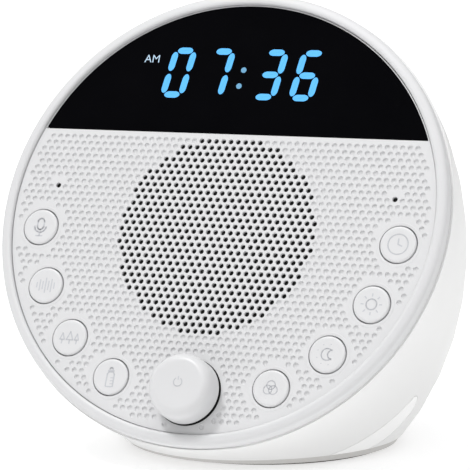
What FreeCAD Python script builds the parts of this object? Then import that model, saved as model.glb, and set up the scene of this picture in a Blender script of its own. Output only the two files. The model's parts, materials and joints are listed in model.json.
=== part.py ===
import FreeCAD, Part
import math
import os

# A bedside sound machine: a round face, leaning back, on a moulded bowl-shaped housing.
# Millimetres. +X is the machine's right as it is looked at, +Y points away from the listener, +Z is up.
# The origin is the centre of the foot, on the table.
# Pieces of the face are drawn in the face's own frame: x to the right, v up the face, h out of it.

# Face and housing
face_tilt = 24.65
face_height = 63.0
face_radius = 60.0
base_back = 30.1
base_radius = 35.5
shell_wall = 2.2
shell_bottom = 2.6
shell_front_spare = 0.5
housing_bands = 9
cavity_bands = 6
cavity_sides = 15
waist_angle = 25.0
waist_distance = 70.6
waist_depth = 58.3
waist_width = 50.6
shoulder_angle = 46.0
shoulder_distance = 70.4
shoulder_depth = 60.6
shoulder_width = 57.0

# Trim ring
ring_width = 2.9
ring_crest = 1.0
ring_depth = 3.0
ring_round = 1.1
ring_soft = 0.5
ledge_width = 2.0
tab_count = 6
tab_width = 7.0
tab_length = 5.0
tab_thickness = 1.2
tab_gap = 1.2

# Face panel and its speaker grille
panel_thickness = 2.0
panel_gap = 0.2
grille_drop = 4.75
grille_radius = 26.0
grille_pitch = 5.0
grille_hole = 2.9
pinhole_radius = 0.65
pinhole_x = 46.0
pinhole_v = 6.0

# Display
display_chord = 21.75
lens_thickness = 1.4
lens_gap = 0.15
lens_lip = 3.0
lens_proud = 0.1
digit_height = 13.9
digit_width = 7.4
digit_stroke = 1.5
digit_slant = 8.0
digit_middle_v = 37.9
digit_places = [-18.0, -6.0, 7.6, 17.4]
digit_thickness = 0.3
colon_radius = 0.8
colon_spread = 4.4
module_left = 26.8
plate_margin = 1.5
module_right = 25.0
module_height = 15.6
module_depth = 6.8

# Buttons
button_names = ["voice", "rain", "forest", "lullaby", "clock", "bright", "dim", "colour"]
button_circle = 49.0
button_first = 26.1
button_step = 19.1
button_radius = 4.65
button_gap = 0.15
button_proud = 0.5
button_travel = 0.7
button_ear = 1.1
button_ear_thickness = 0.8
button_ear_width = 3.0
button_edge = 0.4
button_stop_gap = 0.05
stem_half = 1.3

# Switches and their board
switch_side = 6.0
switch_height = 3.5
switch_bore_gap = 0.2
stem_entry = 0.6
board_thickness = 1.6
board_inner = 41.0
board_outer = 52.3
board_end_angle = 5.0
boss_radius = 1.9
screw_radius = 1.0
thread_radius = 0.8
screw_hole_gap = 0.1
screw_head_gap = 0.3
board_screw_length = 5.0
speaker_screw_length = 1.8
screw_head_radius = 1.9
screw_head_height = 1.2
board_boss_angles = [-164.0, -125.6, -54.4, -16.2]

# Knob and its encoder
knob_drop = 46.4
knob_radius = 8.4
knob_height = 6.9
knob_lift = 0.8
knob_top_radius = 6.3
knob_edge_height = 3.2
knob_push = 0.6
shaft_radius = 3.0
shaft_gap = 0.06
shaft_in_knob = 4.6
encoder_side = 12.0
bush_radius = 3.6
bush_hole_gap = 0.3
plunger_thickness = 0.8

# Hidden round parts are drawn with flats: small pins and bosses, middling cans, the wide speaker
pin_sides = 8
can_sides = 12
speaker_sides = 32

# Speaker
speaker_flange_radius = 27.5
gasket_thickness = 1.2
gasket_width = 2.8
flange_thickness = 1.0
basket_depth = 13.0
basket_floor_radius = 15.0
basket_wall = 1.0
magnet_radius = 16.0
magnet_height = 9.0
cone_thickness = 0.5
dust_cap_radius = 7.0
pole_radius = 5.4
cone_gap = 1.2
speaker_boss_circle = 30.2
speaker_boss_angles = [0.0, 60.0, 120.0, 180.0]

# Base, foot and night light
foot_thickness = 0.8
foot_inset = 2.0
foot_sides = 48
base_edge_gap = 0.4
base_screw_circle = 27.5
base_boss_radius = 3.2
base_boss_height = 10.0
base_bore_depth = 8.0
base_screw_length = 6.0
base_rib = 1.8
light_gap = 0.12
window_front = [-26.5, 2.0]
window_brow = [-17.5, 7.5]
window_tip = [-8.2, 15.8]
window_nose = [-3.9, 13.8]
window_back = [-3.2, 10.5]
window_belly = [-6.9, 6.3]
window_low = [-16.5, 2.0]
window_near = 8.0
window_reach = 40.0
light_board_side = 12.0
light_board_thickness = 1.2
led_radius = 1.5
led_height = 1.6
led_spread = 3.0

base_screw_angles = [30.0, 150.0, -75.0, -105.0]
light_board_x = 26.0
light_board_y = -12.0

# Sensors behind the two pinholes
sensor_radius = 3.0
sensor_height = 3.4

# Main board and power inlet
main_board_left = 17.0
main_board_front = -16.0
main_board_back = 27.0
main_board_lift = 8.0
post_radius = 2.4
chip_side = 9.0
chip_height = 1.2
can_radius = 2.5
can_height = 6.0
can_x = 9.0
can_y = 12.0
inlet_width = 9.2
inlet_height = 3.4
inlet_metal = 0.4
inlet_length = 9.0
inlet_lift = 0.4
inlet_front = 38.0
inlet_gap = 0.25

# Well past every outside: how far a cutting shape runs on
beyond = 4 * face_radius

tilt = math.radians(face_tilt)
face_y = -base_back
fan_y = face_y - face_height * math.tan(tilt)
base_distance = -fan_y
panel_back = -panel_thickness
panel_radius = face_radius - ring_width
switch_top = panel_back - button_stop_gap - button_ear_thickness - button_travel - 0.3
board_top = switch_top - switch_height
up = FreeCAD.Vector(0, 0, 1)
face_place = FreeCAD.Placement(
    FreeCAD.Vector(0, face_y, face_height),
    FreeCAD.Rotation(FreeCAD.Vector(1, 0, 0), 90 - face_tilt),
)


def vec(x, y, z):
    return FreeCAD.Vector(x, y, z)


def on_face(shape):
    """A shape drawn in the face's frame, put where the face is."""
    placed = shape.copy()
    placed.Placement = face_place.multiply(placed.Placement)
    return placed


def disc(radius, low, high, x=0.0, v=0.0):
    return Part.makeCylinder(radius, high - low, vec(x, v, low), up)


def tube(outer, inner, low, high, x=0.0, v=0.0):
    return disc(outer, low, high, x, v).cut(disc(inner, low - 1, high + 1, x, v))


def block(x0, x1, y0, y1, z0, z1):
    return Part.makeBox(x1 - x0, y1 - y0, z1 - z0, vec(x0, y0, z0))


def polygon(sides, radius, level, x, v):
    """The corners of a regular polygon that lie on this radius."""
    return [vec(*circle_point(radius, 360 * (side + 0.5) / sides, x, v), level) for side in range(sides)]


def flat(corners):
    return Part.Face(Part.makePolygon(corners + corners[:1]))


def closed_form(faces):
    skin = Part.makeShell(faces)
    skin.sewShape()
    form = Part.makeSolid(skin)
    if form.Volume < 0:
        form.reverse()
    return form


def prism(sides, radius, low, high, x=0.0, v=0.0):
    return flat(polygon(sides, radius, low, x, v)).extrude(vec(0, 0, high - low))


def frustum(sides, radius_low, radius_high, low, high, x=0.0, v=0.0):
    """A bar with flats whose radius changes evenly from its low end to its high end."""
    lower = polygon(sides, radius_low, low, x, v)
    upper = polygon(sides, radius_high, high, x, v)
    faces = [flat(lower), flat(upper)]
    for index in range(sides):
        faces.append(flat([lower[index - 1], lower[index], upper[index], upper[index - 1]]))
    return closed_form(faces)


def turned(points, x=0.0, v=0.0):
    """A body turned about the line through (x, v) square to the drawing, from its half outline (radius, h)."""
    wire = Part.makePolygon([vec(r, 0, h) for r, h in points + points[:1]])
    body = Part.Face(wire).revolve(vec(0, 0, 0), up, 360)
    body.translate(vec(x, v, 0))
    return body


def join(shapes):
    whole = shapes[0]
    for extra in shapes[1:]:
        whole = whole.fuse(extra)
    return whole.removeSplitter()


def half_section(middle, outward, depth, width, side):
    """Half an ellipse across the housing, from its near end round one side to its far end."""
    near = outward * -depth
    out = vec(side * width, 0, 0)
    poles = [middle + near, middle + near + out, middle + out, middle - near + out, middle - near]
    corner = math.sqrt(0.5)
    curve = Part.BSplineCurve()
    curve.buildFromPolesMultsKnots(poles, [3, 2, 3], [0, 1, 2], False, 2, [1, corner, 1, corner, 1])
    return curve


def fan_place(angle, distance):
    """A point and a direction in the plane that stands at this angle on the line where face and table meet."""
    turn = math.radians(angle)
    outward = vec(0, math.cos(turn), math.sin(turn))
    return vec(0, fan_y, 0) + outward * distance, outward


def housing_curves(wall, side, bands):
    """Curves across one half of the housing from its base to its front, moved in by the wall."""
    front_radius = face_radius + shell_front_spare - wall
    front = face_place.multVec(vec(0, 0, -ring_depth))
    sections = [
        half_section(*fan_place(0, base_distance), base_radius - wall, base_radius - wall, side),
        half_section(*fan_place(waist_angle, waist_distance), waist_depth - wall, waist_width - wall, side),
        half_section(*fan_place(shoulder_angle, shoulder_distance), shoulder_depth - wall, shoulder_width - wall, side),
        half_section(front, fan_place(90 - face_tilt, 1)[1], front_radius, front_radius, side),
    ]
    wires = [Part.Wire([section.toShape()]) for section in sections]
    surface = Part.makeLoft(wires, False, False).Faces[0].Surface
    low, high = surface.bounds()[2:]
    return [surface.vIso(low + (high - low) * band / bands) for band in range(bands + 1)]


def housing_form(wall):
    """The housing's full form: narrow bands between curves on both halves, closed by a flat base and front."""
    halves = [[curve.toShape() for curve in housing_curves(wall, side, housing_bands)] for side in (1, -1)]
    faces = [Part.makeRuledSurface(low, high) for half in halves for low, high in zip(half, half[1:])]
    for end in (0, -1):
        faces.append(Part.Face(Part.Wire([halves[0][end], halves[1][end]])))
    return closed_form(faces)


def cavity_form(wall):
    """The hollow inside the housing, in flat facets, carried on a little past the open front."""
    rings = []
    for right, left in zip(housing_curves(wall, 1, cavity_bands), housing_curves(wall, -1, cavity_bands)):
        low, high = right.FirstParameter, right.LastParameter
        shares = [low + (high - low) * side / cavity_sides for side in range(cavity_sides + 1)]
        rings.append([right.value(share) for share in shares[:-1]] + [left.value(share) for share in shares[:0:-1]])
    past_front = face_place.Rotation.multVec(up) * shell_wall
    rings.append([corner + past_front for corner in rings[-1]])
    faces = [flat(rings[0]), flat(rings[-1])]
    for lower, upper in zip(rings, rings[1:]):
        for index in range(len(lower)):
            before = index - 1
            faces.append(flat([lower[before], lower[index], upper[index]]))
            faces.append(flat([lower[before], upper[index], upper[before]]))
    return closed_form(faces)


def window_outline(grow):
    """The night light's leaf-shaped window, seen from the side: a closed outline drawn in y and z."""
    front = vec(0, window_front[0] - grow * 1.5, window_front[1])
    brow = vec(0, window_brow[0] - grow * 0.7, window_brow[1] + grow * 0.7)
    top = vec(0, window_tip[0] - grow * 0.3, window_tip[1] + grow)
    nose = vec(0, window_nose[0] + grow * 0.8, window_nose[1] + grow * 0.6)
    back = vec(0, window_back[0] + grow, window_back[1])
    belly = vec(0, window_belly[0] + grow * 0.7, window_belly[1] - grow * 0.7)
    low = vec(0, window_low[0] + grow, window_low[1])
    edges = [
        Part.Arc(front, brow, top).toShape(),
        Part.Arc(top, nose, back).toShape(),
        Part.Arc(back, belly, low).toShape(),
        Part.LineSegment(low, front).toShape(),
    ]
    return Part.Face(Part.Wire(edges))


def window_block(side, grow):
    """The window's outline carried sideways through the housing's wall on one side."""
    bar = window_outline(grow).extrude(vec(window_reach, 0, 0))
    bar.translate(vec(window_near, 0, 0))
    return bar if side > 0 else bar.mirror(vec(0, 0, 0), vec(1, 0, 0))


def button_places():
    """Centres of the eight buttons, down the left side and then down the right."""
    places = []
    for side in (-1, 1):
        for row in (3, 2, 1, 0):
            turn = math.radians(button_first + row * button_step)
            places.append((side * button_circle * math.sin(turn), -button_circle * math.cos(turn)))
    return places


def circle_point(radius, degrees, x=0.0, v=0.0):
    turn = math.radians(degrees)
    return x + radius * math.cos(turn), v + radius * math.sin(turn)


def display_segment(radius, chord, low, high):
    """A slice of a round plate above a chord."""
    return disc(radius, low, high).common(block(-radius, radius, chord, radius, low, high))


def housing_wall():
    """The housing's wall, open at the front and cut flat above the base plate."""
    above_base = block(-beyond, beyond, -beyond, beyond, shell_bottom, beyond)
    return housing_form(0).common(above_base).cut(cavity_form(shell_wall))


def make_rear_shell():
    shell = whole_wall
    for side in (-1, 1):
        shell = shell.cut(window_block(side, light_gap))
    bosses = base_bosses().common(housing_form(shell_wall / 2))
    shell = join([shell] + bosses.Solids)
    shell = shell.cut(base_screw_bars(screw_radius, 0, shell_bottom + base_bore_depth))
    return shell.cut(inlet_form(inlet_gap, beyond))


def base_screw_places():
    return [circle_point(base_screw_circle, angle) for angle in base_screw_angles]


def base_bosses():
    """Four screw bosses, each with a rib out to the wall."""
    high = shell_bottom + base_boss_height
    bosses = []
    for angle in base_screw_angles:
        x, y = circle_point(base_screw_circle, angle)
        rib = block(base_screw_circle, base_radius * 2, -base_rib / 2, base_rib / 2, shell_bottom, high)
        rib.rotate(vec(0, 0, 0), up, angle)
        bosses.append(prism(pin_sides, base_boss_radius, shell_bottom, high, x, y).fuse(rib))
    return Part.makeCompound(bosses)


def base_screw_bars(radius, low, high):
    return Part.makeCompound([prism(pin_sides, radius, low, high, x, y) for x, y in base_screw_places()])


def make_front_ring():
    """A trim ring with a softened crest, a ledge for the panel and tabs that spring into the housing."""
    inner = panel_radius + panel_gap / 2
    outer = face_radius
    top = ring_crest
    low = -ring_depth
    ledge_inner = inner - ledge_width
    outline = [
        (inner, panel_back), (inner, top - ring_soft), (inner + ring_soft, top), (outer - ring_round, top),
        (outer, top - ring_round), (outer, low), (ledge_inner, low), (ledge_inner, panel_back),
    ]
    ring = turned(outline)
    reach = outer - shell_wall - tab_gap
    for index in range(tab_count):
        tab = block(reach - tab_thickness, reach, -tab_width / 2, tab_width / 2, low - tab_length, low + 0.5)
        tab.rotate(vec(0, 0, 0), up, 30 + index * 360 / tab_count)
        ring = ring.fuse(tab)
    return on_face(ring.removeSplitter())


def grille_holes():
    """Square holes on a triangular grid, within the speaker's circle."""
    row_height = grille_pitch * math.sqrt(3) / 2
    rows = int(grille_radius / row_height)
    half = grille_hole / 2
    holes = []
    for row in range(-rows, rows + 1):
        v = row * row_height
        shift = grille_pitch / 2 if row % 2 else 0
        columns = int(grille_radius / grille_pitch) + 1
        for column in range(-columns, columns + 1):
            x = column * grille_pitch + shift
            if math.hypot(x, v) < grille_radius - half:
                middle = v - grille_drop
                holes.append(block(x - half, x + half, middle - half, middle + half, panel_back - 1, 1))
    return Part.makeCompound(holes)


def make_face_panel():
    panel = disc(panel_radius - panel_gap / 2, panel_back, 0)
    pocket_low = -lens_thickness
    panel = panel.cut(display_segment(face_radius, display_chord - lens_gap, pocket_low, 1))
    opening = display_segment(panel_radius - lens_lip - 1, display_chord + lens_lip, panel_back - 1, 1)
    holes = [opening]
    for x, v in button_places():
        holes.append(disc(button_radius + button_gap, panel_back - 1, 1, x, v))
    holes.append(disc(bush_radius + bush_hole_gap, panel_back - 1, 1, 0, -knob_drop))
    for side in (-1, 1):
        holes.append(disc(pinhole_radius, panel_back - 1, 1, side * pinhole_x, pinhole_v))
    panel = panel.cut(holes)
    places = [(board_top, *circle_point(button_circle, angle)) for angle in board_boss_angles]
    places += [(speaker_back, *circle_point(speaker_boss_circle, angle, 0, -grille_drop))
               for angle in speaker_boss_angles]
    panel = join([panel] + [prism(pin_sides, boss_radius, low, panel_back, x, v) for low, x, v in places])
    bores = [prism(pin_sides, thread_radius, low - 1, panel_back, x, v) for low, x, v in places]
    return on_face(panel.cut([grille_holes()] + bores))


def make_display_lens():
    return on_face(display_segment(panel_radius - panel_gap, display_chord, -lens_thickness, lens_proud))


def segment_bar(x, v, length, upright):
    """One bar of a digit, with pointed ends."""
    half = length / 2 - 0.25
    thick = digit_stroke / 2
    points = [(-half, 0), (-half + thick, thick), (half - thick, thick), (half, 0), (half - thick, -thick),
              (-half + thick, -thick)]
    if upright:
        points = [(b, a) for a, b in points]
    lean = math.tan(math.radians(digit_slant))
    corners = [vec(x + a + (v + b) * lean, digit_middle_v + v + b, digit_low) for a, b in points]
    return Part.Face(Part.makePolygon(corners + corners[:1])).extrude(vec(0, 0, digit_thickness))


def make_display_digits():
    """The bars of four digits and the two dots of the colon, each a window of its own."""
    across = digit_width - digit_stroke
    rise = (digit_height - digit_stroke) / 2
    bars = []
    for place in digit_places:
        for level in (-1, 0, 1):
            bars.append(segment_bar(place, level * rise, across, False))
        for level in (-0.5, 0.5):
            for side in (-0.5, 0.5):
                bars.append(segment_bar(place + side * across, level * rise, rise, True))
    for side in (-0.5, 0.5):
        bars.append(prism(pin_sides, colon_radius, digit_low, digit_low + digit_thickness, side * 0.6,
                          digit_middle_v + side * colon_spread))
    return on_face(Part.makeCompound(bars))


def make_display_module():
    middle = digit_middle_v
    case = block(-module_left, module_right, middle - module_height / 2, middle + module_height / 2,
                 digit_low - module_depth, digit_low)
    edge = display_chord + lens_lip + plate_margin
    feet = display_segment(panel_radius - lens_lip - 2, edge, panel_back - board_thickness, panel_back)
    plate = feet.cut(block(-module_left - 0.2, module_right + 0.2, middle - module_height / 2 - 0.2,
                           middle + module_height / 2 + 0.2, -beyond, beyond))
    return on_face(case), on_face(plate)


def make_speaker():
    """Gasket, pressed frame, paper cone and magnet of the round speaker, all on one line."""
    place = (0, -grille_drop)
    outer = speaker_flange_radius
    inner = outer - gasket_width
    top = panel_back - gasket_thickness
    low = top - flange_thickness
    floor = top - basket_depth
    gasket = prism(speaker_sides, outer - 0.3, top, panel_back, *place)
    gasket = gasket.cut(prism(speaker_sides, inner, top - 1, panel_back + 1, *place))
    mouth = inner - basket_wall - 0.5
    frame = prism(speaker_sides, outer, low, top, *place)
    frame = frame.fuse(frustum(speaker_sides, basket_floor_radius + basket_wall, inner - 0.5, floor - basket_wall, low,
                               *place))
    frame = frame.cut([
        frustum(speaker_sides, basket_floor_radius, mouth, floor, low, *place),
        prism(speaker_sides, mouth, low, top + 1, *place),
        prism(can_sides, pole_radius + 1.1, floor - 2 * basket_wall, floor + 1, *place),
    ])
    windows = []
    for index in range(4):
        window = block(basket_floor_radius + 1.5, inner - 4, -4.5, 4.5, floor - 3, low + 2)
        window.rotate(vec(0, 0, 0), up, 45 + index * 90)
        window.translate(vec(*place, 0))
        windows.append(window)
    frame = frame.cut(windows)
    deep = floor + cone_gap + 1.5
    cone = frustum(speaker_sides, dust_cap_radius, mouth - 0.1, deep, low, *place)
    cone = cone.cut(cone.translated(vec(0, 0, cone_thickness)))
    magnet_top = floor - basket_wall
    magnet = prism(speaker_sides, magnet_radius, magnet_top - magnet_height, magnet_top, *place)
    magnet = magnet.fuse(prism(can_sides, pole_radius, magnet_top, floor + 0.6, *place)).removeSplitter()
    return on_face(gasket), on_face(frame), on_face(cone), on_face(magnet)


def screw(x, v, seat, length):
    """A hexagon screw seen from behind: its head lies on the seat and its shank runs into the boss."""
    head = prism(6, screw_head_radius, seat - screw_head_height, seat, x, v)
    return head.fuse(prism(pin_sides, thread_radius, seat, seat + length, x, v)).removeSplitter()


def make_speaker_screws():
    places = [circle_point(speaker_boss_circle, angle, 0, -grille_drop) for angle in speaker_boss_angles]
    return on_face(Part.makeCompound([screw(x, v, speaker_back, speaker_screw_length) for x, v in places]))


def make_board_screws():
    places = [circle_point(button_circle, angle) for angle in board_boss_angles]
    return on_face(Part.makeCompound([screw(x, v, board_top - board_thickness, board_screw_length) for x, v in places]))


def make_button_board():
    """A crescent board that follows the buttons round the lower edge of the face."""
    low = board_top - board_thickness
    points = [circle_point(board_outer, board_end_angle), circle_point(board_outer, -90),
              circle_point(board_outer, 180 - board_end_angle), circle_point(board_inner, 180 - board_end_angle),
              circle_point(board_inner, -90), circle_point(board_inner, board_end_angle)]
    corner = [vec(x, v, low) for x, v in points]
    wire = Part.Wire([
        Part.Arc(corner[0], corner[1], corner[2]).toShape(),
        Part.LineSegment(corner[2], corner[3]).toShape(),
        Part.Arc(corner[3], corner[4], corner[5]).toShape(),
        Part.LineSegment(corner[5], corner[0]).toShape(),
    ])
    board = Part.Face(wire).extrude(vec(0, 0, board_thickness))
    holes = [prism(pin_sides, screw_radius, low - 1, board_top + 1, *circle_point(button_circle, angle))
             for angle in board_boss_angles]
    return on_face(board.cut(holes))


def make_button_switches():
    half = switch_side / 2
    bore = stem_half + switch_bore_gap
    bore_low = switch_top - stem_entry - button_travel - 0.2
    switches = []
    for x, v in button_places():
        body = block(x - half, x + half, v - half, v + half, board_top, switch_top)
        switches.append(body.cut(block(x - bore, x + bore, v - bore, v + bore, bore_low, switch_top + 1)))
    return on_face(Part.makeCompound(switches))


def make_button(x, v):
    """A round cap, two ears that stop it behind the panel and a square stem that presses the switch."""
    ear_top = panel_back - button_stop_gap
    ear_low = ear_top - button_ear_thickness
    ear = button_radius + button_ear
    half = button_ear_width / 2
    edge_low = button_proud - button_edge
    cap = Part.makeCone(button_radius, button_radius - button_edge, button_edge, vec(x, v, edge_low), up)
    cap = cap.fuse(disc(button_radius, ear_low, edge_low, x, v))
    cap = cap.fuse(block(x - ear, x + ear, v - half, v + half, ear_low, ear_top))
    stem = block(x - stem_half, x + stem_half, v - stem_half, v + stem_half, switch_top - stem_entry, ear_low)
    return on_face(cap.fuse(stem).removeSplitter())


def make_knob():
    """A domed knob with a blind bore for the shaft."""
    low = knob_lift
    high = knob_lift + knob_height
    dome = math.radians(45)
    across = knob_radius - knob_top_radius
    outline = [
        (0, high), (knob_top_radius, high),
        (knob_top_radius + across * math.sin(dome), high - knob_edge_height * (1 - math.cos(dome))),
        (knob_radius, high - knob_edge_height), (knob_radius, low), (shaft_radius, low), (shaft_radius, shaft_top),
        (0, shaft_top),
    ]
    return on_face(turned(outline, 0, -knob_drop))


def make_encoder():
    """The rotary encoder: case and bush, turning shaft and the plunger that the shaft presses."""
    x, v = 0, -knob_drop
    half = encoder_side / 2
    bore = shaft_radius + shaft_gap
    body = block(x - half, x + half, v - half, v + half, board_top, encoder_top)
    body = body.fuse(disc(bush_radius, encoder_top - 0.5, bush_top, x, v)).removeSplitter()
    body = body.cut(disc(bore, plunger_low - knob_push - 0.1, bush_top + 1, x, v))
    shaft = disc(shaft_radius, plunger_low + plunger_thickness, shaft_top, x, v)
    plunger = disc(shaft_radius, plunger_low, plunger_low + plunger_thickness, x, v)
    return on_face(body), on_face(shaft), on_face(plunger)


def make_sensor(side):
    low = panel_back - sensor_height
    return on_face(prism(can_sides, sensor_radius, low, panel_back, side * pinhole_x, pinhole_v))


def make_base_plate():
    slab = block(-beyond, beyond, -beyond, beyond, foot_thickness, shell_bottom)
    plate = housing_form(base_edge_gap).common(slab)
    post_low = shell_bottom - 0.2
    posts = [prism(pin_sides, post_radius, post_low, main_board_low, x, y) for x, y in main_board_corners()]
    plate = join([plate] + posts)
    holes = []
    for x, y in base_screw_places():
        holes.append(prism(pin_sides, screw_radius + screw_hole_gap, 0, beyond, x, y))
        holes.append(prism(pin_sides, screw_head_radius + screw_head_gap, 0, screw_seat, x, y))
    return plate.cut(holes)


def make_base_screws():
    return Part.makeCompound([screw(x, y, screw_seat, base_screw_length) for x, y in base_screw_places()])


def make_foot_ring():
    outer = base_radius - foot_inset
    inner = base_screw_circle + screw_head_radius + screw_head_gap
    return prism(foot_sides, outer, 0, foot_thickness).cut(prism(foot_sides, inner, -1, foot_thickness + 1))


def make_light_lens(side):
    return whole_wall.common(window_block(side, 0))


def make_light_board(side):
    half = light_board_side / 2
    x = side * light_board_x
    top = shell_bottom + light_board_thickness
    board = block(x - half / 2, x + half / 2, light_board_y - half, light_board_y + half, shell_bottom, top)
    lamps = [prism(pin_sides, led_radius, top, top + led_height, x, light_board_y + shift) for shift in (-led_spread, led_spread)]
    return board, lamps


def main_board_corners():
    reach = main_board_left - post_radius - 0.5
    return [(side * reach, y) for side in (-1, 1) for y in (main_board_front + 3, main_board_back - 3)]


def make_main_board():
    board = block(-main_board_left, main_board_left, main_board_front, main_board_back, main_board_low,
                  main_board_low + board_thickness)
    top = main_board_low + board_thickness
    chip = block(-chip_side / 2, chip_side / 2, -chip_side / 2, chip_side / 2, top, top + chip_height)
    cans = [prism(can_sides, can_radius, top, top + can_height, side * can_x, can_y) for side in (-1, 1)]
    return board, Part.makeCompound([chip] + cans)


def inlet_form(grow, length):
    """The power inlet's rounded outline, carried backwards from the main board's edge."""
    low = main_board_low + board_thickness + inlet_lift - grow
    high = low + inlet_height + 2 * grow
    half = inlet_width / 2 + grow
    round_radius = (high - low) / 2
    bar = block(-half + round_radius, half - round_radius, inlet_front, inlet_front + length, low, high)
    ends = []
    for side in (-1, 1):
        middle = vec(side * (half - round_radius), inlet_front, low + round_radius)
        ends.append(Part.makeCylinder(round_radius, length, middle, vec(0, 1, 0)))
    return join([bar] + ends)


def make_power_inlet():
    shell = inlet_form(0, inlet_length)
    hollow = inlet_form(-inlet_metal, inlet_length)
    hollow.translate(vec(0, 1.5, 0))
    low = main_board_low + board_thickness
    middle = low + inlet_lift + inlet_height / 2
    tongue = block(-3.3, 3.3, inlet_front + 1, inlet_front + inlet_length - 1.2, middle - 0.35, middle + 0.35)
    legs = [block(side * 3.4 - 0.5, side * 3.4 + 0.5, inlet_front + 1, inlet_front + 5, low, low + inlet_lift + 0.3)
            for side in (-1, 1)]
    return join([shell.cut(hollow), tongue] + legs)


encoder_top = panel_back - 0.4
bush_top = -0.2
shaft_top = knob_lift + shaft_in_knob
plunger_low = board_top + 1.0
speaker_back = panel_back - gasket_thickness - flange_thickness
digit_low = -lens_thickness - digit_thickness
main_board_low = shell_bottom + main_board_lift
screw_seat = foot_thickness + screw_head_height / 2
whole_wall = housing_wall()

pieces = {
    "rear_shell": make_rear_shell(),
    "front_ring": make_front_ring(),
    "face_panel": make_face_panel(),
    "display_lens": make_display_lens(),
    "display_digits": make_display_digits(),
    "speaker_screws": make_speaker_screws(),
    "button_board": make_button_board(),
    "button_switches": make_button_switches(),
    "board_screws": make_board_screws(),
    "volume_knob": make_knob(),
    "microphone": make_sensor(-1),
    "light_sensor": make_sensor(1),
    "base_plate": make_base_plate(),
    "base_screws": make_base_screws(),
    "foot_ring": make_foot_ring(),
    "light_lens_left": make_light_lens(-1),
    "light_lens_right": make_light_lens(1),
    "power_inlet": make_power_inlet(),
}
pieces["display_module"], pieces["display_plate"] = make_display_module()
pieces["speaker_gasket"], pieces["speaker_frame"], pieces["speaker_cone"], pieces["speaker_magnet"] = make_speaker()
pieces["encoder_body"], pieces["encoder_shaft"], pieces["encoder_plunger"] = make_encoder()
pieces["main_board"], pieces["board_parts"] = make_main_board()
left_board, left_lamps = make_light_board(-1)
right_board, right_lamps = make_light_board(1)
pieces["light_boards"] = Part.makeCompound([left_board, right_board])
pieces["light_lamps"] = Part.makeCompound(left_lamps + right_lamps)
for name, place in zip(button_names, button_places()):
    pieces["button_" + name] = make_button(*place)

os.makedirs("parts", exist_ok=True)
for name, shape in sorted(pieces.items()):
    shape.exportStep("parts/" + name + ".step")
    print(name, len(shape.Solids), round(shape.Volume, 1), shape.isValid())
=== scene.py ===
import json
import math

import bmesh
import bpy
from mathutils import Matrix, Vector


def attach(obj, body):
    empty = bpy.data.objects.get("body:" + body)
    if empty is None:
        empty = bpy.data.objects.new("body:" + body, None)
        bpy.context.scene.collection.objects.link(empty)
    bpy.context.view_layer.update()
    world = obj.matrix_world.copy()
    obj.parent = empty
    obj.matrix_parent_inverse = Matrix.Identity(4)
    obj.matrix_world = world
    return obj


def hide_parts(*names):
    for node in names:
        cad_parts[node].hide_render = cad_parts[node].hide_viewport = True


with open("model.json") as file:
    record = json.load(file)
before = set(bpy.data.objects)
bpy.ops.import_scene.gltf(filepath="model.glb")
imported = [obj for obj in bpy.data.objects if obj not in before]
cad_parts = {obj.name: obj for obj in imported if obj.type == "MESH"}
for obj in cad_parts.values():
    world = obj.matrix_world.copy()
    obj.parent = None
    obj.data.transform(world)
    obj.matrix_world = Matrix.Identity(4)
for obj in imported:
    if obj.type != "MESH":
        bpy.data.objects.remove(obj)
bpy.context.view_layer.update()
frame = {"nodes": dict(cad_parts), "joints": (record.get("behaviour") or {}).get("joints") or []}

# Sizes are millimetres in the face's own frame: x to the right, v up the face, h out of it.
milli = 0.001
across = Vector((1, 0, 0))
knobJoint = next(joint for joint in frame["joints"] if joint["name"] == "knob_turn")
outward = Vector(knobJoint["axis"]).normalized()
upFace = outward.cross(across)
face = {
    "knobDrop": 46.4,        # the knob's centre, below the middle of the face
    "panelRadius": 56.95,
    "panelBack": -2.0,
    "ringInner": 57.15,
    "ringOuter": 60.0,
}
faceMiddle = Vector(knobJoint["pos_m"]) + upFace * face["knobDrop"] * milli
faceMatrix = Matrix.Identity(4)
for column, axis in enumerate((across, upFace, outward)):
    for row in range(3):
        faceMatrix[row][column] = axis[row] * milli
        faceMatrix[row][3] = faceMiddle[row]


# Meshes

mergeDistance = 0.0005       # millimetres; points nearer than this become one


def at(x, v, h=0.0):
    return Matrix.Translation((x, v, h))


def polar(radius, degrees):
    turn = math.radians(degrees)
    return radius * math.cos(turn), radius * math.sin(turn)


def finishPiece(name, bm, body, material, replaced=(), sharp=38, matrix=faceMatrix):
    # Turns a bmesh drawn in millimetres into a piece that rides on a body.
    mesh = bpy.data.meshes.new(name)
    bmesh.ops.recalc_face_normals(bm, faces=bm.faces)
    bm.to_mesh(mesh)
    bm.free()
    mesh.transform(matrix)
    mesh.shade_smooth()
    mesh.set_sharp_from_angle(angle=math.radians(sharp))
    mesh.materials.append(material)
    piece = bpy.data.objects.new(name, mesh)
    bpy.context.scene.collection.objects.link(piece)
    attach(piece, body)
    if replaced:
        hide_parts(*replaced)
    return piece


def spinInto(bm, profile, steps=96, sweep=360.0, start=0.0):
    # Spins a half outline of (radius, h) points about the middle line.
    made = [bm.verts.new((radius, 0, h)) for radius, h in profile]
    edges = [bm.edges.new(pair) for pair in zip(made, made[1:])]
    if start:
        turn = Matrix.Rotation(math.radians(start), 3, "Z")
        bmesh.ops.rotate(bm, verts=made, cent=(0, 0, 0), matrix=turn)
    bmesh.ops.spin(bm, geom=made + edges, cent=(0, 0, 0), axis=(0, 0, 1), steps=steps,
                   angle=math.radians(sweep), use_merge=sweep == 360.0, use_duplicate=False)


def vertsOf(made):
    return [item for item in made if isinstance(item, bmesh.types.BMVert)]


def raiseFaces(bm, rise):
    # Gives every flat face of a bmesh a thickness.
    made = bmesh.ops.extrude_face_region(bm, geom=list(bm.faces))["geom"]
    bmesh.ops.translate(bm, verts=vertsOf(made), vec=(0, 0, rise))


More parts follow.
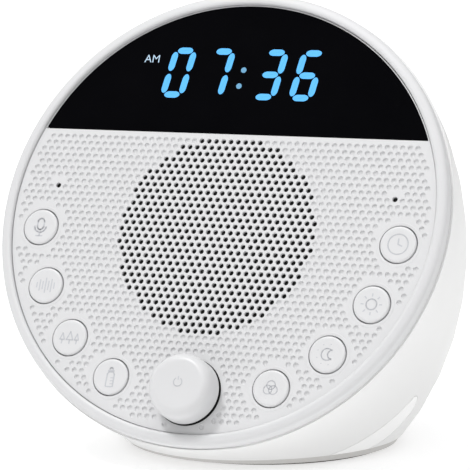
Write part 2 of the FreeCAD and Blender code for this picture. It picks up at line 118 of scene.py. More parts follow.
def turnedPiece(name, profile, body, material, replaced=(), x=0.0, v=0.0, steps=96, sharp=38):
    bm = bmesh.new()
    spinInto(bm, profile, steps=steps)
    bmesh.ops.remove_doubles(bm, verts=bm.verts, dist=mergeDistance)
    bmesh.ops.transform(bm, matrix=at(x, v), verts=bm.verts)
    return finishPiece(name, bm, body, material, replaced, sharp)


def copyNode(name, node, body, material, sharp=30):
    # A merged, smooth copy of a node whose shape is right.
    bm = bmesh.new()
    bm.from_mesh(frame["nodes"][node].data)
    bmesh.ops.remove_doubles(bm, verts=bm.verts, dist=0.000002)      # the nodes are in metres
    return finishPiece(name, bm, body, material, (node,), sharp, Matrix.Identity(4))


def roundedCorner(radiusOut, h, size, steps=5):
    # Points of a rounded edge of a spun outline, from the top to the side.
    points = []
    for step in range(steps + 1):
        turn = math.pi / 2 * step / steps
        points.append((radiusOut - size + size * math.sin(turn), h - size + size * math.cos(turn)))
    return points


# Materials

class Wire:
    # A shader socket that takes part in sums.

    def __init__(self, shade, socket):
        self.shade = shade
        self.socket = socket

    def maths(self, operation, first, second):
        return self.shade.node("ShaderNodeMath", {"operation": operation}, (first, second))

    def __add__(self, other):
        return self.maths("ADD", self, other)

    def __mul__(self, other):
        return self.maths("MULTIPLY", self, other)

    __radd__ = __add__
    __rmul__ = __mul__


class Shade:
    # A material and the one method that adds nodes to it.

    def __init__(self, name):
        self.material = bpy.data.materials.new(name)
        self.material.use_nodes = True
        self.tree = self.material.node_tree
        self.shader = next(node for node in self.tree.nodes if node.type == "BSDF_PRINCIPLED")

    def feed(self, socket, value):
        if isinstance(value, Wire):
            self.tree.links.new(value.socket, socket)
        else:
            socket.default_value = value

    def node(self, kind, settings=None, inputs=None, output=0):
        made = self.tree.nodes.new(kind)
        for key, value in (settings or {}).items():
            if key == "stops":
                ramp = made.color_ramp
                while len(ramp.elements) < len(value):
                    ramp.elements.new(0.5)
                for element, (place, colour) in zip(ramp.elements, value):
                    element.position = place
                    element.color = colour
            else:
                setattr(made, key, value)
        pairs = inputs.items() if isinstance(inputs, dict) else enumerate(inputs or ())
        for key, value in pairs:
            self.feed(made.inputs[key], value)
        return Wire(self, made.outputs[output])

    def place(self):
        return self.node("ShaderNodeTexCoord", output="Object")

    def noise(self, scale, detail=2.0, roughness=0.5):
        inputs = {"Vector": self.place(), "Scale": scale, "Detail": detail, "Roughness": roughness}
        return self.node("ShaderNodeTexNoise", None, inputs, "Fac")

    def mix(self, factor, first, second):
        # Sockets 6 and 7 are the two colours, and output 2 is the colour.
        return self.node("ShaderNodeMix", {"data_type": "RGBA"}, {0: factor, 6: first, 7: second}, 2)

    def bump(self, height, distance, strength=1.0):
        inputs = {"Height": height, "Distance": distance, "Strength": strength}
        return self.node("ShaderNodeBump", None, inputs)

    def set(self, **values):
        for key, value in values.items():
            self.feed(self.shader.inputs[key.replace("_", " ")], value)


def colour(red, green, blue):
    return (red, green, blue, 1.0)


def plasticMaterial(name, base, shift=0.04, roughness=0.42, grain=9000.0, depth=0.000012, coat=0.0):
    # Moulded plastic: slow shifts of tone, a fine spark texture and an uneven gloss.
    shade = Shade(name)
    slow = shade.noise(28.0, 3.0)
    fine = shade.noise(grain, 2.0, 0.6)
    darker = colour(*(channel * (1 - shift) for channel in base))
    shade.set(Base_Color=shade.mix(slow, colour(*base), darker), Roughness=roughness - 0.06 + 0.12 * slow,
              Normal=shade.bump(fine, depth), Specular_IOR_Level=0.45, Coat_Weight=coat)
    return shade.material


def glossMaterial(name, base, roughness=0.1):
    # Polished black window with a faint haze of fingerprints.
    shade = Shade(name)
    haze = shade.noise(60.0, 4.0, 0.7)
    shade.set(Base_Color=shade.mix(haze, colour(*base), colour(*(channel * 1.6 for channel in base))),
              Roughness=roughness + 0.05 * haze, Specular_IOR_Level=0.0, IOR=1.06)
    return shade.material


def litMaterial(name, glow, strength):
    # A lit part of the clock, with a little unevenness in its glow.
    shade = Shade(name)
    uneven = shade.noise(700.0, 2.0)
    deep = colour(*(channel * 0.85 for channel in glow))
    shade.set(Base_Color=colour(*(channel * 0.4 for channel in glow)), Roughness=0.5,
              Emission_Color=shade.mix(uneven, colour(*glow), deep), Emission_Strength=strength)
    return shade.material


def metalMaterial(name, base, roughness=0.32):
    # Plated metal with soft streaks in its tone and gloss.
    shade = Shade(name)
    streak = shade.noise(420.0, 3.0, 0.6)
    darker = colour(*(channel * 0.8 for channel in base))
    shade.set(Base_Color=shade.mix(streak, colour(*base), darker), Metallic=1.0,
              Roughness=roughness - 0.05 + 0.14 * streak, Normal=shade.bump(streak, 0.00001))
    return shade.material


def boardMaterial(name):
    # Green circuit board: weave under the solder mask and paler copper lines.
    shade = Shade(name)
    pattern = {"Vector": shade.place(), "Scale": 260.0, "Distortion": 6.0, "Detail": 1.0, "Detail Scale": 0.6}
    lines = shade.node("ShaderNodeTexWave", {"wave_type": "BANDS", "bands_direction": "DIAGONAL"}, pattern, "Fac")
    stops = [(0.82, colour(0, 0, 0)), (0.9, colour(1, 1, 1))]
    copper = shade.node("ShaderNodeValToRGB", {"stops": stops}, {0: lines})
    weave = shade.noise(2600.0, 1.0)
    shade.set(Base_Color=shade.mix(copper, colour(0.012, 0.11, 0.045), colour(0.03, 0.2, 0.08)),
              Roughness=0.32 + 0.16 * weave, Normal=shade.bump(weave, 0.00001))
    return shade.material


finish = {
    "shell": plasticMaterial("warmWhitePlastic", (0.82, 0.82, 0.817), 0.03, 0.4, 7000.0, 0.00001),
    "front": plasticMaterial("coolWhitePlastic", (0.69, 0.691, 0.70), 0.03, 0.42, 9000.0, 0.000012),
    "button": plasticMaterial("buttonWhitePlastic", (0.70, 0.701, 0.71), 0.03, 0.36, 9000.0, 0.000006),
    "knob": plasticMaterial("knobWhitePlastic", (0.68, 0.681, 0.69), 0.02, 0.3, 9000.0, 0.000004, 0.1),
    # Grey on the raised icons and knob signs: painted shade of the embossed marks' relief.
    "icon": plasticMaterial("iconGreyReliefShade", (0.56, 0.57, 0.60), 0.08, 0.5, 6000.0, 0.000004),
    "glass": glossMaterial("blackWindow", (0.002, 0.002, 0.0025)),
    "digit": litMaterial("blueDigit", (0.075, 0.42, 0.86), 0.95),
    "colon": litMaterial("paleDigit", (0.12, 0.34, 0.55), 0.8),
    "label": litMaterial("paleLabel", (0.45, 0.62, 0.78), 0.8),
    "black": plasticMaterial("blackPlastic", (0.02, 0.02, 0.022), 0.3, 0.5, 5000.0, 0.00001),
    "cone": plasticMaterial("pressedPaper", (0.03, 0.03, 0.032), 0.4, 0.8, 2200.0, 0.00004),
    # Near-black: the speaker cloth's own colour, and painted shade on the hole plugs and on the ring round the
    # knob.
    "clothAndShade": plasticMaterial("blackClothAndPaintedShade", (0.006, 0.006, 0.006), 0.5, 0.95, 2400.0, 0.00004),
    "foam": plasticMaterial("gasketFoam", (0.05, 0.05, 0.05), 0.5, 0.9, 2600.0, 0.00008),
    "board": boardMaterial("circuitBoard"),
    "steel": metalMaterial("platedSteel", (0.62, 0.62, 0.63)),
    "magnet": metalMaterial("magnetIron", (0.28, 0.28, 0.29), 0.45),
    # Grey, darker than the housing: painted shade along the band of the base under the housing's edge.
    "base": plasticMaterial("basePlasticPaintedShade", (0.6, 0.59, 0.575), 0.05, 0.55, 5000.0, 0.00002),
    "rubber": plasticMaterial("footRubber", (0.07, 0.06, 0.05), 0.2, 0.8, 3000.0, 0.00004),
    "diffuser": plasticMaterial("lightDiffuser", (0.93, 0.93, 0.927), 0.01, 0.22, 5000.0, 0.000004),
}
print("materials made")


# Face panel with its grille and dimples

panel = {
    "pitch": 2.0,
    "grilleDrop": 4.75,      # the grille's centre, below the middle of the face
    "grilleReach": 26.3,
    "grilleTop": 25.0,
    "grilleShift": 0.2,
    "holeRadius": 0.7,
    "dimpleRadius": 0.72,
    "dimpleReach": 55.4,
    "top": 21.5,             # the panel's straight upper edge, under the display
    "topClear": 1.7,
    "buttonClear": 6.65,
    "knobClear": 9.7,
    "pinholeClear": 1.8,
    "sides": 10,             # of each hole and dimple
    "outlineSides": 180,
    "openingSides": 48,
}
buttons = {
    "names": ["voice", "rain", "forest", "lullaby", "clock", "bright", "dim", "colour"],
    "circle": 49.0,          # radius of the circle that they lie on
    "first": 26.1,           # degrees from the bottom of the face
    "step": 19.1,
    "radius": 4.65,
    "gap": 0.28,
    "collar": 1.15,          # width of the raised rim in the panel
    "proud": 0.5,
    "ear": 1.1,
    "earTop": -0.05,         # from the back of the panel
    "earLow": -0.85,
    "stem": 1.6,
    "stemEnd": -4.45,
    "sides": 64,
}
knob = {
    "radius": 8.4, "topRadius": 6.3, "lift": 0.8, "height": 6.9, "shoulder": 3.2,
    "wall": 1.6, "topWall": 2.5, "sleeve": 4.4, "bore": 3.0, "sides": 128,
    "hole": 3.9, "holeRim": 1.0,     # the panel's opening for the shaft
}
pinholes = {"x": 46.0, "v": 6.0, "radius": 0.68, "rim": 0.12, "sides": 20}
display = {"chord": 21.75, "radius": 56.62, "thickness": 1.4, "proud": 0.1, "corner": 0.6, "edge": 0.12,
           "sides": 200}


def buttonPlaces():
    places = []
    for side in (-1, 1):
        for row in (3, 2, 1, 0):
            turn = math.radians(buttons["first"] + row * buttons["step"])
            places.append((side * buttons["circle"] * math.sin(turn), -buttons["circle"] * math.cos(turn)))
    return places


def latticePlaces():
    # Every place of the hexagonal grid on the panel, and whether it is a through hole.
    pitch, drop = panel["pitch"], panel["grilleDrop"]
    rowHeight = pitch * math.sqrt(3) / 2
    rows = int(face["panelRadius"] / rowHeight) + 4
    spots = []
    for row in range(-rows, rows + 1):
        v = row * rowHeight - drop
        shift = pitch / 2 if row % 2 else 0.0
        for column in range(-rows, rows + 1):
            x = column * pitch + shift
            inReach = math.hypot(x, v + drop + panel["grilleShift"]) < panel["grilleReach"]
            isHole = v + drop < panel["grilleTop"] and inReach
            if isHole or dimpleFits(x, v):
                spots.append((x, v, isHole))
    return spots


def dimpleFits(x, v):
    if math.hypot(x, v) > panel["dimpleReach"] or v > panel["top"] - panel["topClear"]:
        return False
    if math.hypot(x, v + face["knobDrop"]) < panel["knobClear"]:
        return False
    if math.hypot(abs(x) - pinholes["x"], v - pinholes["v"]) < panel["pinholeClear"]:
        return False
    return all(math.hypot(x - bx, v - bv) > panel["buttonClear"] for bx, bv in buttonPlaces())


def rimLoop(bm, x, v, radius, sides):
    made = bmesh.ops.create_circle(bm, cap_ends=False, radius=radius, segments=sides, matrix=at(x, v))
    return made["verts"]


def sinkLoops(bm, loops, steps):
    # Carries many rims at once through steps of (share of the radius, h).
    # Each rim shrinks about its own middle.
    edges = []
    homes = {}
    for verts, (x, v) in loops:
        own = set(verts)
        near = [edge for vert in verts for edge in vert.link_edges if edge.other_vert(vert) in own]
        edges.extend(dict.fromkeys(near))
        for vert in verts:
            homes[vert] = (x, v, vert.co.x - x, vert.co.y - v)
    for share, h in steps:
        made = bmesh.ops.extrude_edge_only(bm, edges=edges)["geom"]
        later = {}
        for vert in vertsOf(made):
            source = next(edge.other_vert(vert) for edge in vert.link_edges if edge.other_vert(vert) in homes)
            x, v, dx, dv = homes[source]
            vert.co = (x + dx * share, v + dv * share, h)
            later[vert] = (x, v, dx, dv)
        homes = later
        edges = [item for item in made if isinstance(item, bmesh.types.BMEdge)
                 and all(vert in later for vert in item.verts)]
    return edges


def cutCircle(bm, radius, sides, chord, side):
    # A circle cut off at a chord, and closed along it.
    rimLoop(bm, 0, 0, radius, sides)
    bmesh.ops.bisect_plane(bm, geom=list(bm.verts) + list(bm.edges), plane_co=(0, chord, 0),
                           plane_no=(0, side, 0), clear_outer=True)
    bm.edges.new([vert for vert in bm.verts if len(vert.link_edges) == 1])


def makePanel():
    bm = bmesh.new()
    back, drop = face["panelBack"], face["knobDrop"]
    buttonRim, knobRim = buttons["radius"] + buttons["collar"], knob["hole"] + knob["holeRim"]
    pinRim = pinholes["radius"] + pinholes["rim"]
    cutCircle(bm, face["panelRadius"], panel["outlineSides"], panel["top"], 1)
    outline = list(bm.verts)
    loops = {"dimple": [], "hole": [], "button": [], "knob": [], "pin": []}
    for x, v, isHole in latticePlaces():
        kind = "hole" if isHole else "dimple"
        radius = panel[kind + "Radius"]
        loops[kind].append((rimLoop(bm, x, v, radius, panel["sides"]), (x, v)))
    for x, v in buttonPlaces():
        loops["button"].append((rimLoop(bm, x, v, buttonRim, panel["openingSides"]), (x, v)))
    loops["knob"].append((rimLoop(bm, 0, -drop, knobRim, panel["openingSides"]), (0, -drop)))
    for side in (-1, 1):
        spot = (side * pinholes["x"], pinholes["v"])
        loops["pin"].append((rimLoop(bm, *spot, pinRim, pinholes["sides"]), spot))
    bmesh.ops.triangle_fill(bm, use_beauty=True, use_dissolve=False, edges=list(bm.edges), normal=(0, 0, 1))

    dimpleFloors = sinkLoops(bm, loops["dimple"], [(0.95, -0.12), (0.78, -0.34), (0.45, -0.46)])
    bmesh.ops.edgeloop_fill(bm, edges=dimpleFloors)
    wall = buttons["radius"] + buttons["gap"]
    buttonSteps = [(wall + 0.8, 0.05), (wall + 0.25, 0.07), (wall + 0.06, 0.03), (wall, -0.06), (wall, back)]
    knobShare, pinShare = knob["hole"] / knobRim, pinholes["radius"] / pinRim
    through = sinkLoops(bm, loops["hole"], [(0.95, -0.1), (0.93, back)])
    through += sinkLoops(bm, loops["button"], [(radius / buttonRim, h) for radius, h in buttonSteps])
    through += sinkLoops(bm, loops["knob"], [(knobShare, 0.0), (knobShare, back)])
    through += sinkLoops(bm, loops["pin"], [(pinShare, -0.1), (pinShare, back)])
    through += sinkLoops(bm, [(outline, (0, 0))], [(1.0, -0.02), (1.0, back)])
    bmesh.ops.triangle_fill(bm, use_beauty=True, use_dissolve=False, edges=through, normal=(0, 0, -1))
    finishPiece("facePanel", bm, "housing", finish["front"], ("face_panel",), 30)


clothAndShade = {"radius": 24.4, "top": -2.03, "thickness": 0.12, "sides": 64,
         "plug": 0.62, "plugTop": -0.7, "plugSides": 8}
# A flat black ring of painted shadow round the knob's foot.
knobShadowRing = {"inner": 6.6, "outer": 8.6, "low": 0.01, "top": 0.05, "sides": 96}


def makeClothAndShadePlugs():
    # Black cloth behind the grille, and a black plug 0.7 below the face in each hole and pinhole: the plugs are
    # painted shade inside the holes.
    bm = bmesh.new()
    spots = [(0, -panel["grilleDrop"], clothAndShade["radius"], clothAndShade["sides"], clothAndShade["top"])]
    shadePlugSpots = [(x, v) for x, v, isHole in latticePlaces() if isHole]
    shadePlugSpots += [(side * pinholes["x"], pinholes["v"]) for side in (-1, 1)]
    spots += [(x, v, clothAndShade["plug"], clothAndShade["plugSides"], clothAndShade["plugTop"]) for x, v in shadePlugSpots]
    for x, v, radius, sides, top in spots:
        bmesh.ops.create_circle(bm, cap_ends=True, radius=radius, segments=sides, matrix=at(x, v, top))
    raiseFaces(bm, -clothAndShade["thickness"])
    finishPiece("grilleClothAndShadePlugs", bm, "housing", finish["clothAndShade"])


def makeKnobShadowRing():
    # A flat black ring on the panel round the foot of the knob: painted shadow of the gap between the knob and
    # the panel.
    profile = [(knobShadowRing["inner"], knobShadowRing["low"]), (knobShadowRing["inner"], knobShadowRing["top"]), (knobShadowRing["outer"], knobShadowRing["top"]),
               (knobShadowRing["outer"], knobShadowRing["low"]), (knobShadowRing["inner"], knobShadowRing["low"])]
    turnedPiece("knobPaintedShadow", profile, "housing", finish["clothAndShade"], v=-face["knobDrop"],
                steps=knobShadowRing["sides"])


makePanel()
makeClothAndShadePlugs()
makeKnobShadowRing()
print("panel made")


# Trim ring

ring = {"crest": 1.0, "low": -3.0, "round": 1.25, "roundSteps": 7, "shelf": 2.0, "skirt": 2.2, "skirtDepth": 1.0,
        "sides": 192}


def makeRing():
    inner, outer, back = face["ringInner"], face["ringOuter"], face["panelBack"]
    crest, low, shelf, skirt = ring["crest"], ring["low"], inner - ring["shelf"], outer - ring["skirt"]
    skirtLow = low - ring["skirtDepth"]
    profile = [(outer, low)]
    profile += roundedCorner(outer, crest - 0.15, ring["round"], ring["roundSteps"])[::-1]
    profile += [(inner + 1.1, crest), (inner + 0.55, crest - 0.03), (inner + 0.2, crest - 0.16),
                (inner + 0.04, crest - 0.4), (inner, crest - 0.7), (inner, back), (shelf, back),
                (shelf, skirtLow), (skirt, skirtLow), (skirt, low), (outer, low)]
    turnedPiece("frontRing", profile, "housing", finish["front"], ("front_ring",),
                steps=ring["sides"])


makeRing()


# Display: black window, thin white lip and lit digits

digits = {
    "height": 13.9, "width": 6.8, "stroke": 1.75, "slant": 8.0, "middle": 37.9,
    "places": [-17.7, -6.9, 7.7, 17.8], "shown": "0736", "cut": 0.3, "bevel": 0.62,
    "colonRadius": 0.75, "colonV": [39.0, 34.6], "colonX": [0.25, -0.35],
    "bars": {"0": "abcdef", "7": "abc", "3": "abcdg", "6": "acdefg"},
    "lift": 0.004, "thickness": 0.02,        # a lit bar lies on the window
}
label = {"text": "AM", "size": 3.05, "thinner": -0.012, "x": -25.75, "v": 40.55}
lip = {"gap": 0.04, "low": -1.9, "shoulder": -0.05, "top": 0.02, "soft": 0.06, "steps": 120}


def makeWindow():
    bm = bmesh.new()
    top, low = display["proud"], -display["thickness"]
    cutCircle(bm, display["radius"], display["sides"], display["chord"], -1)
    bmesh.ops.edgeloop_fill(bm, edges=bm.edges)
    corners = [vert for vert in bm.verts if abs(vert.co.y - display["chord"]) < 0.001]
    bmesh.ops.bevel(bm, geom=corners, offset=display["corner"], affect="VERTICES", segments=6, profile=0.5,
                    material=-1)
    bmesh.ops.translate(bm, verts=bm.verts, vec=(0, 0, top))
    raiseFaces(bm, low - top)
    rims = [edge for edge in bm.edges if all(abs(vert.co.z - top) < 0.001 for vert in edge.verts)]
    bmesh.ops.bevel(bm, geom=rims, offset=display["edge"], affect="EDGES", segments=3, profile=0.5, material=-1)
    finishPiece("displayWindow", bm, "housing", finish["glass"], ("display_lens",), 30)


def makeLip():
    # The panel's thin white lip round the window's arc.
    bm = bmesh.new()
    start = math.degrees(math.asin(panel["top"] / face["panelRadius"]))
    inner, outer, soft = display["radius"] + lip["gap"], face["panelRadius"], lip["soft"]
    profile = [(inner, lip["low"]), (inner, lip["shoulder"]), (inner + soft, lip["top"]),
               (outer - soft, lip["top"]), (outer, lip["shoulder"]), (outer, lip["low"]), (inner, lip["low"])]
    spinInto(bm, profile, steps=lip["steps"], sweep=180 - 2 * start, start=start)
    bmesh.ops.remove_doubles(bm, verts=bm.verts, dist=mergeDistance)
    bmesh.ops.holes_fill(bm, edges=bm.edges, sides=0)
    finishPiece("windowLip", bm, "housing", finish["front"])


def barInto(bm, x, v, length, upright):
    # One bar of a digit: a slanted six-sided bar with rounded corners.
    half, thick = length / 2 - digits["cut"] / 2, digits["stroke"] / 2
    points = [(-half, 0), (-half + thick, thick), (half - thick, thick), (half, 0), (half - thick, -thick),
              (-half + thick, -thick)]
    if upright:
        points = [(b, a) for a, b in points]
    lean = math.tan(math.radians(digits["slant"]))
    base = display["proud"] + digits["lift"]
    made = [bm.verts.new((x + a + (v + b) * lean, digits["middle"] + v + b, base)) for a, b in points]
    bm.faces.new(made)
    bmesh.ops.bevel(bm, geom=made, offset=digits["bevel"], affect="VERTICES", segments=3, profile=0.5,
                    material=-1)


def makeDigits():
    # Bars a, g and d lie from top to bottom; f and b are the upper pair, e and c the lower.
    width, rise = digits["width"] - digits["stroke"], (digits["height"] - digits["stroke"]) / 2
    layout = {"a": (0, rise, False), "g": (0, 0, False), "d": (0, -rise, False),
              "f": (-width / 2, rise / 2, True), "b": (width / 2, rise / 2, True),
              "e": (-width / 2, -rise / 2, True), "c": (width / 2, -rise / 2, True)}
    bm = bmesh.new()
    for place, figure in zip(digits["places"], digits["shown"]):
        for letter in digits["bars"][figure]:
            dx, dv, upright = layout[letter]
            barInto(bm, place + dx, dv, rise if upright else width, upright)
    raiseFaces(bm, digits["thickness"])
    finishPiece("clockDigits", bm, "housing", finish["digit"], ("display_digits",), 30)
    dots = bmesh.new()
    for x, v in zip(digits["colonX"], digits["colonV"]):
        bmesh.ops.create_circle(dots, cap_ends=True, radius=digits["colonRadius"], segments=24,
                                matrix=at(x, v, display["proud"] + digits["lift"]))
    raiseFaces(dots, digits["thickness"])
    finishPiece("clockColon", dots, "housing", finish["colon"], sharp=30)


def makeLabel():
    # The plain letters that say morning, left of the figures.
    text = bpy.data.curves.new("clockLabel", "FONT")
    text.body = label["text"]
    text.size = label["size"]
    text.align_x = "CENTER"
    text.offset = label["thinner"]
    holder = bpy.data.objects.new("clockLabelText", text)
    bpy.context.scene.collection.objects.link(holder)
    bpy.context.view_layer.update()
    mesh = bpy.data.meshes.new_from_object(holder)
    bpy.data.objects.remove(holder)
    bm = bmesh.new()
    bm.from_mesh(mesh)
    place = (label["x"], label["v"], display["proud"] + digits["lift"])
    bmesh.ops.translate(bm, verts=bm.verts, vec=place)
    raiseFaces(bm, digits["thickness"])
    finishPiece("clockLabel", bm, "housing", finish["label"], sharp=30)


makeWindow()
makeLip()
makeDigits()
makeLabel()
print("display made")


# Buttons and their icons

icons = {"scale": 1.3, "sunk": 0.1, "thickness": 0.045}


def makeButton(name, x, v):
    # A dished cap with a soft edge, its ears under the panel and its stem.
    radius, top, back = buttons["radius"], buttons["proud"], face["panelBack"]
    ear, earTop, earLow = radius + buttons["ear"], back + buttons["earTop"], back + buttons["earLow"]
    stem, stemEnd = buttons["stem"], buttons["stemEnd"]
    profile = [(0, top - 0.1), (radius * 0.5, top - 0.08), (radius * 0.74, top - 0.02), (radius * 0.84, top),
               (radius * 0.9, top - 0.01), (radius - 0.2, top - 0.06), (radius - 0.06, top - 0.17),
               (radius, top - 0.36), (radius, earTop), (ear, earTop), (ear, earLow), (stem, earLow),
               (stem, stemEnd), (0, stemEnd)]
    body = "button_" + name
    turnedPiece("button-" + name, profile, body, finish["button"], (body,), x, v, buttons["sides"])


def strokeInto(bm, points, width=0.3, closed=False):
    # A flat stroke through points, as wide as a pen line; each run reaches a little past its ends.
    following = points[1:] + points[:1] if closed else points[1:]
    for (ax, av), (bx, bv) in zip(points, following):
        length = math.hypot(bx - ax, bv - av)
        turn = math.atan2(bv - av, bx - ax)
        place = at((ax + bx) / 2, (av + bv) / 2) @ Matrix.Rotation(turn, 4, "Z")
        size = Matrix.Diagonal((length + width * 0.5, width, 1, 1))
        bmesh.ops.create_grid(bm, x_segments=1, y_segments=1, size=0.5, matrix=place @ size)


def arcPoints(x, v, radius, start, end, steps=16):
    return [(x + px, v + pv) for px, pv in
            (polar(radius, start + (end - start) * step / steps) for step in range(steps + 1))]


def dotInto(bm, x, v, radius):
    bmesh.ops.create_circle(bm, cap_ends=True, radius=radius, segments=12, matrix=at(x, v))


def voiceIcon(bm):
    strokeInto(bm, arcPoints(0, 1.0, 0.7, 0, 180) + arcPoints(0, 0.1, 0.7, 180, 360), closed=True)
    strokeInto(bm, arcPoints(0, 0.1, 1.25, 180, 360))
    strokeInto(bm, [(0, -1.15), (0, -1.9)])
    strokeInto(bm, [(-0.7, -1.9), (0.7, -1.9)])


def rainIcon(bm):
    for index, height in enumerate((0.5, 1.1, 0.8, 1.5, 0.9, 1.3, 0.6)):
        x = (index - 3) * 0.62
        strokeInto(bm, [(x, -height), (x, height)], 0.24)


def forestIcon(bm):
    for x, size in ((-1.5, 0.8), (0.1, 1.15), (1.6, 0.75)):
        strokeInto(bm, [(x - size * 0.6, -0.5), (x, size), (x + size * 0.6, -0.5)], 0.24, True)
        strokeInto(bm, [(x, -0.5), (x, -1.3)], 0.26)


def lullabyIcon(bm):
    bottle = [(-0.75, -2.0), (-0.75, 0.5), (-0.45, 0.95), (0.45, 0.95), (0.75, 0.5), (0.75, -2.0)]
    strokeInto(bm, bottle, 0.26, True)
    strokeInto(bm, [(-0.6, 1.2), (0.6, 1.2)], 0.3)
    strokeInto(bm, arcPoints(0, 1.45, 0.35, 0, 180, 8), 0.26)
    for v in (-0.2, -0.8, -1.4):
        strokeInto(bm, [(0.1, v), (0.7, v)], 0.16)


def clockIcon(bm):
    strokeInto(bm, arcPoints(0, 0, 2.0, 0, 360, 32), 0.24)
    strokeInto(bm, [(0, 1.1), (0, 0), (0.8, -0.35)], 0.26)


def brightIcon(bm):
    strokeInto(bm, arcPoints(0, 0, 1.05, 0, 360, 24), 0.24)
    for index in range(8):
        strokeInto(bm, [polar(1.6, index * 45), polar(2.15, index * 45)], 0.24)


def dimIcon(bm):
    moon = arcPoints(0, 0, 1.15, 50, 310, 20) + arcPoints(1.0, 0, 0.88, 265, 95, 14)
    strokeInto(bm, moon, 0.22, True)
    for index in range(6):
        dotInto(bm, *polar(2.05, 75 + index * 42), 0.13)


def colourIcon(bm):
    for index in range(3):
        x, v = polar(0.62, 90 + index * 120)
        strokeInto(bm, arcPoints(x, v, 0.85, 0, 360, 24), 0.18)
    for index in range(10):
        dotInto(bm, *polar(2.2, index * 36), 0.12)


iconMakers = {"voice": voiceIcon, "rain": rainIcon, "forest": forestIcon, "lullaby": lullabyIcon,
              "clock": clockIcon, "bright": brightIcon, "dim": dimIcon, "colour": colourIcon}
iconSize = Matrix.Diagonal((icons["scale"], icons["scale"], 1, 1))
for name, (x, v) in zip(buttons["names"], buttonPlaces()):
    makeButton(name, x, v)
    icon = bmesh.new()
    iconMakers[name](icon)
    place = at(x, v, buttons["proud"] - icons["sunk"]) @ iconSize
    bmesh.ops.transform(icon, matrix=place, verts=icon.verts)
    raiseFaces(icon, icons["thickness"])
    finishPiece("icon-" + name, icon, "button_" + name, finish["icon"], sharp=30)
print("buttons made")


# Volume knob

marks = {"dots": 9, "dotCircle": 4.6, "firstDot": 222, "dotStep": 12, "dotRadius": 0.12, "dotGrowth": 0.012,
         "pen": 0.2, "sunk": 0.15, "thickness": 0.05}
knobTop = knob["lift"] + knob["height"]


def makeKnob():
    # A dished top, a rounded shoulder, and inside it a sleeve for the shaft.
    low, high, radius, top = knob["lift"], knobTop, knob["radius"], knob["topRadius"]
    inner, ceiling = radius - knob["wall"], high - knob["topWall"]
    sleeve, bore, sleeveEnd, boreEnd = knob["sleeve"], knob["bore"], low + 0.5, high - 2.4
    profile = [(0, high - 0.16), (top * 0.55, high - 0.12), (top * 0.86, high - 0.03), (top * 0.95, high)]
    for step in range(1, 11):
        turn = math.pi / 2 * step / 10
        fall = knob["shoulder"] * (1 - math.cos(turn)) + 0.02
        profile.append((top + (radius - top) * math.sin(turn), high - fall))
    profile += [(radius + 0.02, low + 1.4), (radius + 0.02, low + 0.2), (radius - 0.16, low), (inner, low),
                (inner, ceiling), (sleeve, ceiling), (sleeve, sleeveEnd), (bore, sleeveEnd), (bore, boreEnd),
                (0, boreEnd)]
    turnedPiece("volumeKnob", profile, "knob", finish["knob"], ("volume_knob",),
                v=-face["knobDrop"], steps=knob["sides"])


def makeKnobMarks():
    # A plain switch sign, and dots that grow with the volume.
    bm = bmesh.new()
    strokeInto(bm, arcPoints(0, 0.6, 1.1, 125, 415, 24), marks["pen"])
    strokeInto(bm, [(0, 1.1), (0, 2.0)], marks["pen"])
    for index in range(marks["dots"]):
        spot = polar(marks["dotCircle"], marks["firstDot"] + index * marks["dotStep"])
        dotInto(bm, *spot, marks["dotRadius"] + marks["dotGrowth"] * index)
    bmesh.ops.transform(bm, matrix=at(0, -face["knobDrop"], knobTop - marks["sunk"]), verts=bm.verts)
    raiseFaces(bm, marks["thickness"])
    finishPiece("knobMarks", bm, "knob", finish["icon"], sharp=30)


makeKnob()
makeKnobMarks()
print("knob made")


# Housing and night light: smooth copies of the solids

copyNode("rearShell", "rear_shell", "housing", finish["shell"], 28)
copyNode("lightLensLeft", "light_lens_left", "housing", finish["diffuser"], 28)
copyNode("lightLensRight", "light_lens_right", "housing", finish["diffuser"], 28)
print("housing made")


# The solids whose shape is right take their finish here

nodeFinish = {
    "base_plate": "base", "foot_ring": "rubber", "display_module": "black", "encoder_body": "black",
    "encoder_plunger": "black", "board_parts": "black", "speaker_gasket": "foam", "button_switches": "black",
    "microphone": "black", "light_sensor": "black", "display_plate": "board", "button_board": "board",
    "main_board": "board", "light_boards": "board", "speaker_frame": "steel", "speaker_screws": "steel",
    "board_screws": "steel", "base_screws": "steel", "encoder_shaft": "steel", "power_inlet": "steel",
    "speaker_magnet": "magnet", "speaker_cone": "cone", "light_lamps": "diffuser",
}
for node, chosen in nodeFinish.items():
    thing = frame["nodes"][node]
    thing.data.materials.clear()
    thing.data.materials.append(finish[chosen])
print("solids finished")


# Floor, light and camera

studio = {
    "azimuth": 22.371, "elevation": 6.8906, "lens": 204.838, "sensor": 36.0,
    "eye": (258.65, -188.76, 592.86),    # millimetres in the face's frame
    "skyStrength": 0.42,
    "floorReach": 14.0, "floorTones": (0.56, 0.54), "floorGlow": 0.56,
    # Each light: degrees round from the front towards the right, degrees up, softness, power.
    "suns": {"keyLight": (-30, 62, 10, 1.1), "topLight": (0, 88, 90, 1.6)},
}


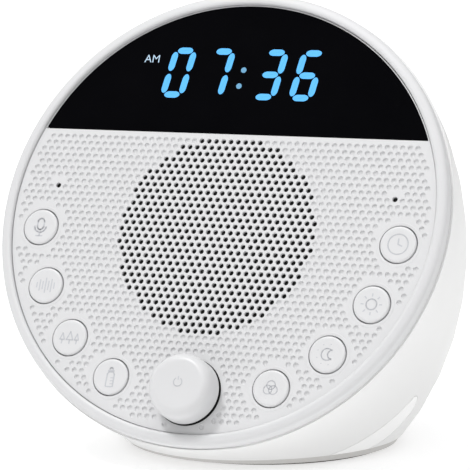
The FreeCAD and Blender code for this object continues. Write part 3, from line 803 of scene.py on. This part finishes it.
def makeFloor():
    bm = bmesh.new()
    bmesh.ops.create_grid(bm, x_segments=1, y_segments=1, size=studio["floorReach"])
    mesh = bpy.data.meshes.new("floor")
    bm.to_mesh(mesh)
    bm.free()
    shade = Shade("paleFloor")
    cloud = shade.noise(3.0)
    paler, deeper = (colour(tone, tone, tone) for tone in studio["floorTones"])
    shade.set(Base_Color=shade.mix(cloud, paler, deeper), Roughness=0.7, Emission_Color=colour(1, 1, 1),
              Emission_Strength=studio["floorGlow"])
    mesh.materials.append(shade.material)
    floor = bpy.data.objects.new("floor", mesh)
    bpy.context.scene.collection.objects.link(floor)


def wayTo(around, above):
    # The direction of a place that is so far round from the front, towards the right, and so far up.
    side, height = math.radians(around), math.radians(above)
    return Vector((math.sin(side) * math.cos(height), -math.cos(side) * math.cos(height), math.sin(height)))


def makeSun(name, around, above, softness, power):
    light = bpy.data.lights.new(name, "SUN")
    light.angle = math.radians(softness)
    light.energy = power
    lamp = bpy.data.objects.new(name, light)
    lamp.rotation_euler = wayTo(around, above).to_track_quat("Z", "Y").to_euler()
    bpy.context.scene.collection.objects.link(lamp)


def makeCamera():
    data = bpy.data.cameras.new("photoCamera")
    data.sensor_width = studio["sensor"]
    data.lens = studio["lens"]
    data.clip_start, data.clip_end = 0.05, 20.0
    camera = bpy.data.objects.new("photoCamera", data)
    camera.location = faceMatrix @ Vector(studio["eye"])
    look = -wayTo(studio["azimuth"], studio["elevation"])
    camera.rotation_euler = look.to_track_quat("-Z", "Y").to_euler()
    bpy.context.scene.collection.objects.link(camera)
    bpy.context.scene.camera = camera


def makeWorld():
    world = bpy.data.worlds.new("studio")
    world.use_nodes = True
    sky = world.node_tree.nodes["Background"]
    sky.inputs["Color"].default_value = colour(1, 1, 1)
    sky.inputs["Strength"].default_value = studio["skyStrength"]
    bpy.context.scene.world = world
    bpy.context.scene.view_settings.view_transform = "Standard"


makeWorld()
makeFloor()
for name, settings in studio["suns"].items():
    makeSun(name, *settings)
makeCamera()
print("studio made")
